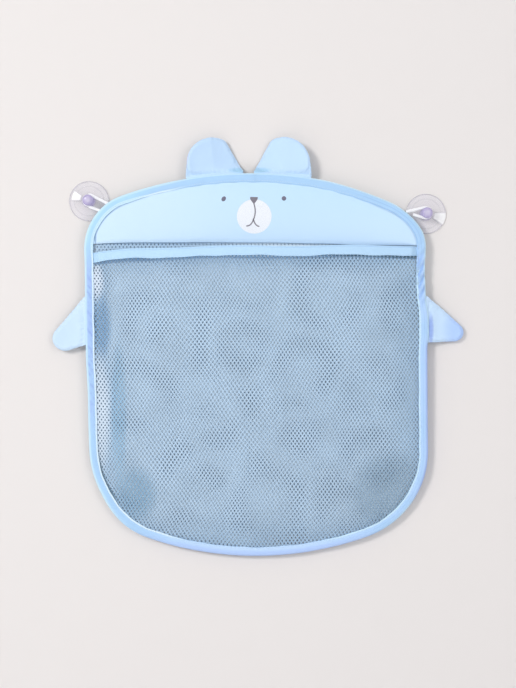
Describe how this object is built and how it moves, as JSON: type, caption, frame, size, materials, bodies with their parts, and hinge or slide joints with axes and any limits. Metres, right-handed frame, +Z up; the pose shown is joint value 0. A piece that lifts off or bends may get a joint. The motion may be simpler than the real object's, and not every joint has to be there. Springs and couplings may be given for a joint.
{
  "type": "bath toy organizer",
  "caption": "Wall-hung mesh pouch shaped like a round-headed animal, with a head panel, folding ears and arms, a tape-edged mouth, cord loops and suction cups.",
  "frame": {"origin": "on the wall plane, on the bag's centre line, level with the middle of the two suction cups", "axes": "+Z up, +X to the right of someone facing the bag, +Y into the wall; the bag hangs towards -Y"},
  "size_m": [0.421, 0.0401, 0.4278],
  "materials": {
    "net": "knitted polyester net",
    "foam": "white wadding",
    "head_cloth": "smooth woven polyester",
    "mouth_tape": "folded polyester tape",
    "edge_tape": "folded polyester tape",
    "limb_cloth": "smooth woven polyester",
    "elastic_cord": "braided white elastic",
    "clear_vinyl": "soft clear vinyl, slightly violet"
  },
  "bodies": {
    "bag": {"back_mesh": "net", "head_stiffener": "foam", "head_panel": "head_cloth", "pouch_front_mesh": "net", "perimeter_binding": "edge_tape"},
    "mouth": {"pouch_mouth_band": "mouth_tape"},
    "ear_left": {"ear_left_front": "limb_cloth", "ear_left_padding": "foam", "ear_left_back": "limb_cloth"},
    "arm_left": {"arm_left_front": "limb_cloth", "arm_left_padding": "foam", "arm_left_back": "limb_cloth"},
    "loop_left": {"cord_loop_left": "elastic_cord"},
    "cup_left": {"suction_cup_left": "clear_vinyl"},
    "ear_right": {"ear_right_front": "limb_cloth", "ear_right_padding": "foam", "ear_right_back": "limb_cloth"},
    "arm_right": {"arm_right_front": "limb_cloth", "arm_right_padding": "foam", "arm_right_back": "limb_cloth"},
    "loop_right": {"cord_loop_right": "elastic_cord"},
    "cup_right": {"suction_cup_right": "clear_vinyl"}
  },
  "joints": [
    {"name": "mouth_swing", "type": "hinge", "parent": "bag", "child": "mouth", "pos_m": [0, -0.01407, -0.0485], "axis": [1, 0, 0], "range_deg": [-25, 40], "deforming": ["pouch_front_mesh"]},
    {"name": "ear_left_fold", "type": "hinge", "parent": "bag", "child": "ear_left", "pos_m": [-0.04223, -0.01055, 0.03216], "axis": [0.9942, 0, 0.108], "range_deg": [-60, 75]},
    {"name": "arm_left_fold", "type": "hinge", "parent": "bag", "child": "arm_left", "pos_m": [-0.17605, -0.01055, -0.116], "axis": [0, 0, 1], "range_deg": [-60, 75]},
    {"name": "loop_left_swing", "type": "hinge", "parent": "bag", "child": "loop_left", "pos_m": [-0.15518, -0.01055, -0.00088], "axis": [0.7593, 0, 0.6508], "range_deg": [-25, 80]},
    {"name": "cup_left_turn", "type": "hinge", "parent": "loop_left", "child": "cup_left", "pos_m": [-0.1713, 0, 0.00643], "axis": [0, 1, 0], "continuous": true},
    {"name": "ear_right_fold", "type": "hinge", "parent": "bag", "child": "ear_right", "pos_m": [0.02728, -0.01055, 0.0335], "axis": [0.9976, 0, -0.0698], "range_deg": [-60, 75]},
    {"name": "arm_right_fold", "type": "hinge", "parent": "bag", "child": "arm_right", "pos_m": [0.17605, -0.01055, -0.116], "axis": [0, 0, -1], "range_deg": [-60, 75]},
    {"name": "loop_right_swing", "type": "hinge", "parent": "bag", "child": "loop_right", "pos_m": [0.1614, -0.01055, -0.00685], "axis": [0.6587, 0, -0.7524], "range_deg": [-25, 80]},
    {"name": "cup_right_turn", "type": "hinge", "parent": "loop_right", "child": "cup_right", "pos_m": [0.1743, 0, -0.00664], "axis": [0, 1, 0], "continuous": true}
  ]
}
